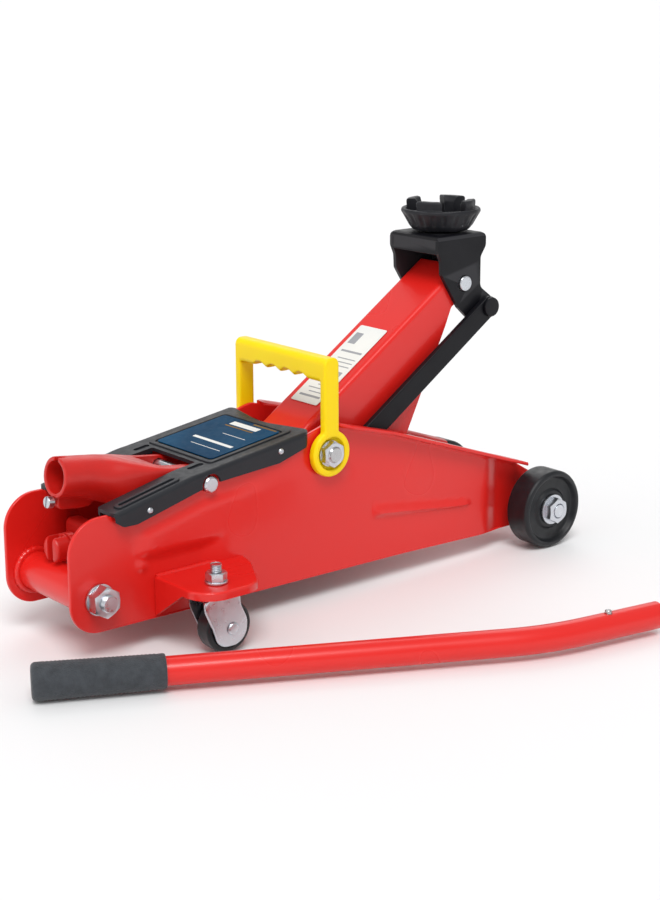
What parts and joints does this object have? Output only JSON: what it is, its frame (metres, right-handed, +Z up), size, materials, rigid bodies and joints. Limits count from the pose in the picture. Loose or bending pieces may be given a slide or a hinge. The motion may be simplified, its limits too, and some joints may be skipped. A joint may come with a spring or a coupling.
{
  "type": "hydraulic floor jack",
  "caption": "Low trolley jack: twin side plates, lift arm with levelling links and swivel saddle, hydraulic unit, pump socket, casters, loose pump bar.",
  "frame": {"origin": "middle of the footprint of jack and pump bar together, on the floor", "axes": "+X from the handle socket towards the front wheels and saddle, +Y to the jack's left, +Z up"},
  "size_m": [0.511, 0.3564, 0.275],
  "materials": {
    "red_paint": "glossy enamel",
    "red_casting": "painted casting",
    "black_paint": "satin black enamel",
    "black_plastic": "moulded, satin",
    "wheel_plastic": "moulded, satin",
    "yellow_plastic": "moulded, semi-gloss",
    "zinc_steel": "zinc plated",
    "machined_steel": "turned, oiled",
    "grip_foam": "ribbed foam",
    "blue_label": "printed film, no lettering",
    "pale_label": "printed film, no lettering"
  },
  "bodies": {
    "root": {"side_plate_right": "red_paint", "side_plate_left": "red_paint", "rear_cross_tube": "red_paint", "rear_tie_bolt": "zinc_steel", "rear_tie_nut": "zinc_steel", "lift_pivot_shaft": "machined_steel", "lift_pivot_nut_right": "zinc_steel", "lift_pivot_nut_left": "zinc_steel", "link_stud_right": "black_paint", "link_stud_left": "black_paint", "power_unit_block": "red_casting", "hydraulic_cylinder": "machined_steel", "reservoir_tube": "red_paint", "tank_nut": "machined_steel", "return_spring_right": "zinc_steel", "return_spring_left": "zinc_steel", "pump_spring": "zinc_steel", "socket_pivot_pin": "zinc_steel", "top_cover": "black_plastic", "cover_label": "blue_label", "front_axle": "zinc_steel", "front_cross_tube": "red_paint", "axle_spacer_right": "zinc_steel", "axle_spacer_left": "zinc_steel", "axle_nut_right": "zinc_steel", "axle_nut_left": "zinc_steel", "caster_bracket_right": "red_paint", "caster_bracket_left": "red_paint"},
    "lift_arm": {"lift_arm": "red_paint", "arm_label": "pale_label", "arm_roller_pin": "machined_steel"},
    "arm_roller": {"arm_roller": "machined_steel"},
    "saddle_bracket": {"saddle_bracket": "black_paint", "saddle_pin": "zinc_steel", "link_pin_right": "black_paint", "link_pin_left": "black_paint"},
    "saddle": {"saddle": "black_paint"},
    "link_right": {"link_right": "black_paint"},
    "link_left": {"link_left": "black_paint"},
    "ram": {"ram_rod": "machined_steel", "ram_head": "machined_steel"},
    "pump_plunger": {"pump_plunger": "machined_steel"},
    "release_valve": {"release_valve": "red_paint"},
    "handle_socket": {"handle_socket": "red_paint", "socket_lock_screw": "zinc_steel"},
    "carry_handle": {"carry_handle": "yellow_plastic"},
    "front_wheel_right": {"front_wheel_right": "wheel_plastic"},
    "front_wheel_left": {"front_wheel_left": "wheel_plastic"},
    "caster_fork_right": {"caster_fork_right": "zinc_steel", "caster_nut_right": "zinc_steel", "caster_axle_right": "zinc_steel"},
    "caster_fork_left": {"caster_fork_left": "zinc_steel", "caster_nut_left": "zinc_steel", "caster_axle_left": "zinc_steel"},
    "caster_wheel_right": {"caster_wheel_right": "wheel_plastic"},
    "caster_wheel_left": {"caster_wheel_left": "wheel_plastic"},
    "pump_bar": {"handle_pipe": "red_paint", "handle_grip": "grip_foam", "handle_detent": "machined_steel"}
  },
  "joints": [
    {"name": "arm_lift", "type": "hinge", "parent": "root", "child": "lift_arm", "pos_m": [0.01336, 0.07973, 0.11], "axis": [0, -1, 0], "range_deg": [-44.7, 21.3]},
    {"name": "bracket_level", "type": "hinge", "parent": "lift_arm", "child": "saddle_bracket", "pos_m": [0.16728, 0.07973, 0.21265], "axis": [0, -1, 0], "range_deg": [-21.3, 44.7]},
    {"name": "link_right_swing", "type": "hinge", "parent": "root", "child": "link_right", "pos_m": [0.03536, 0.04973, 0.09], "axis": [0, -1, 0], "range_deg": [-44.7, 21.3]},
    {"name": "link_left_swing", "type": "hinge", "parent": "root", "child": "link_left", "pos_m": [0.03536, 0.10973, 0.09], "axis": [0, -1, 0], "range_deg": [-44.7, 21.3]},
    {"name": "ram_slide", "type": "slide", "parent": "root", "child": "ram", "axis": [1, 0, 0], "range_m": [-0.04432, 0.02112], "deforming": ["return_spring_right", "return_spring_left"]},
    {"name": "roller_spin", "type": "hinge", "parent": "lift_arm", "child": "arm_roller", "pos_m": [0.02553, 0.07973, 0.05125], "axis": [0, 1, 0], "continuous": true},
    {"name": "saddle_swivel", "type": "hinge", "parent": "saddle_bracket", "child": "saddle", "pos_m": [0.16728, 0.07973, 0.255], "axis": [0, 0, 1], "continuous": true},
    {"name": "handle_pump", "type": "hinge", "parent": "root", "child": "handle_socket", "pos_m": [-0.09064, 0.07973, 0.106], "axis": [0, 1, 0], "range_deg": [-6, 38]},
    {"name": "plunger_slide", "type": "slide", "parent": "root", "child": "pump_plunger", "axis": [0, 0, 1], "range_m": [-0.00377, 0.02388], "deforming": ["pump_spring"]},
    {"name": "valve_turn", "type": "hinge", "parent": "root", "child": "release_valve", "pos_m": [-0.17164, 0.08473, 0.067], "axis": [1, 0, 0], "range_deg": [0, 180]},
    {"name": "carry_tilt", "type": "hinge", "parent": "root", "child": "carry_handle", "pos_m": [0.01336, 0.07973, 0.11], "axis": [0, 1, 0], "range_deg": [-20, 8]},
    {"name": "front_wheel_right_spin", "type": "hinge", "parent": "root", "child": "front_wheel_right", "pos_m": [0.22486, 0.01813, 0.031], "axis": [0, 1, 0], "continuous": true},
    {"name": "front_wheel_left_spin", "type": "hinge", "parent": "root", "child": "front_wheel_left", "pos_m": [0.22486, 0.14133, 0.031], "axis": [0, 1, 0], "continuous": true},
    {"name": "caster_right_swivel", "type": "hinge", "parent": "root", "child": "caster_fork_right", "pos_m": [-0.11164, -0.00027, 0.045], "axis": [0, 0, 1], "continuous": true},
    {"name": "caster_wheel_right_spin", "type": "hinge", "parent": "caster_fork_right", "child": "caster_wheel_right", "pos_m": [-0.10614, -0.00027, 0.018], "axis": [0, 1, 0], "continuous": true},
    {"name": "caster_left_swivel", "type": "hinge", "parent": "root", "child": "caster_fork_left", "pos_m": [-0.11164, 0.15973, 0.045], "axis": [0, 0, 1], "continuous": true},
    {"name": "caster_wheel_left_spin", "type": "hinge", "parent": "caster_fork_left", "child": "caster_wheel_left", "pos_m": [-0.10614, 0.15973, 0.018], "axis": [0, 1, 0], "continuous": true},
    {"name": "bar_pick_up", "type": "slide", "parent": "root", "child": "pump_bar", "axis": [0, 0, 1], "range_m": [0, 0.3]}
  ],
  "couplings": [
    {"joint": "bracket_level", "follows": "arm_lift", "ratio": -1},
    {"joint": "link_right_swing", "follows": "arm_lift", "ratio": 1},
    {"joint": "link_left_swing", "follows": "arm_lift", "ratio": 1},
    {"joint": "ram_slide", "follows": "arm_lift", "m_per_rad": 0.0568},
    {"joint": "plunger_slide", "follows": "handle_pump", "m_per_rad": 0.036}
  ]
}
